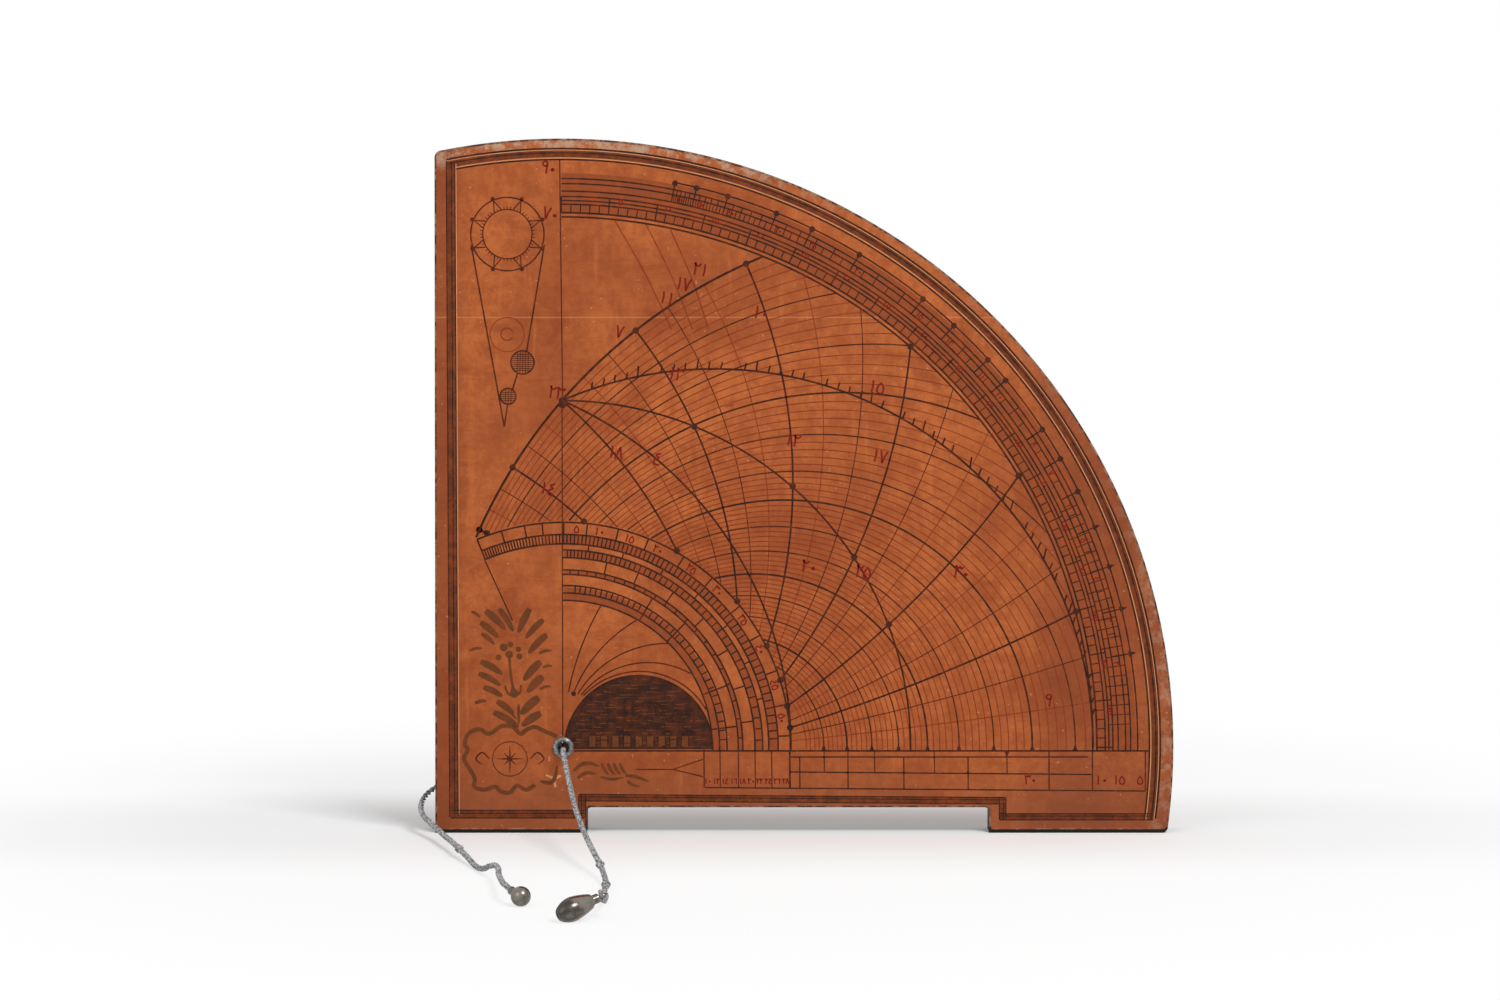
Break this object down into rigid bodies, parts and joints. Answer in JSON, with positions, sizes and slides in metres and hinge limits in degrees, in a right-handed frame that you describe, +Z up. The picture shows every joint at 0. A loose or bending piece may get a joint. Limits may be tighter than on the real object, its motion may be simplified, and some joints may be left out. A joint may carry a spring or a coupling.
{
  "type": "astrolabic quadrant",
  "caption": "Lacquered wooden quarter-circle astrolabic quadrant that stands on its sight blocks, with a weighted plumb line through an eyelet at the apex.",
  "frame": {"origin": "on the floor, under the middle of the board's box", "axes": "+X along the lower edge from the apex toward the rim, the painted front looks toward -Y, +Z up"},
  "size_m": [0.2357, 0.1841, 0.2158],
  "materials": {
    "board_wood": "black-brown painted edges, worn at the arrises",
    "front_paint": "painted and varnished, aged orange brown",
    "back_paint": "painted and varnished, aged orange brown",
    "eyelet_metal": "dull grey, worn",
    "cord": "twisted grey thread",
    "weight_metal": "tarnished silver, soft polish",
    "core_lead": "cast, unseen"
  },
  "bodies": {
    "board": {"core_lower_board": "board_wood", "core_upper_board": "board_wood", "front_facing": "front_paint", "back_facing": "back_paint", "eyelet_barrel": "eyelet_metal", "eyelet_washer": "eyelet_metal"},
    "eyelet_turn": {"line_in_eyelet": "cord"},
    "plumb_line": {"plumb_line_upper": "cord", "plumb_line_knot": "cord", "plumb_line_lower": "cord", "plumb_line_loop": "cord"},
    "plummet": {"plummet_ring": "weight_metal", "plummet_collar": "weight_metal", "plummet_front_shell": "weight_metal", "plummet_back_shell": "weight_metal", "plummet_core": "core_lead"},
    "back_line": {"back_line_upper": "cord", "back_line_knot": "cord", "back_line_lower": "cord"},
    "ball": {"ball_collar": "weight_metal", "ball_weight": "weight_metal"}
  },
  "joints": [
    {"name": "line_sweep", "type": "hinge", "parent": "board", "child": "eyelet_turn", "pos_m": [-0.075, -0.0081, 0.02615], "axis": [0, -1, 0], "range_deg": [0, 185]},
    {"name": "line_drop", "type": "hinge", "parent": "eyelet_turn", "child": "plumb_line", "pos_m": [-0.075, -0.0081, 0.02615], "axis": [1, 0, 0], "range_deg": [0, 70]},
    {"name": "plummet_swing", "type": "hinge", "parent": "plumb_line", "child": "plummet", "pos_m": [-0.0578, -0.1625, 0.00635], "axis": [-0.4356, 0.2246, 0.8716], "range_deg": [-25, 70]},
    {"name": "back_line_swing", "type": "hinge", "parent": "board", "child": "back_line", "pos_m": [-0.075, 0.0081, 0.02615], "axis": [0, 0, 1], "range_deg": [-135, 0]},
    {"name": "ball_spin", "type": "hinge", "parent": "back_line", "child": "ball", "pos_m": [-0.0814, -0.1421, 0.00287], "axis": [0.6605, -0.7005, -0.2702], "continuous": true}
  ]
}
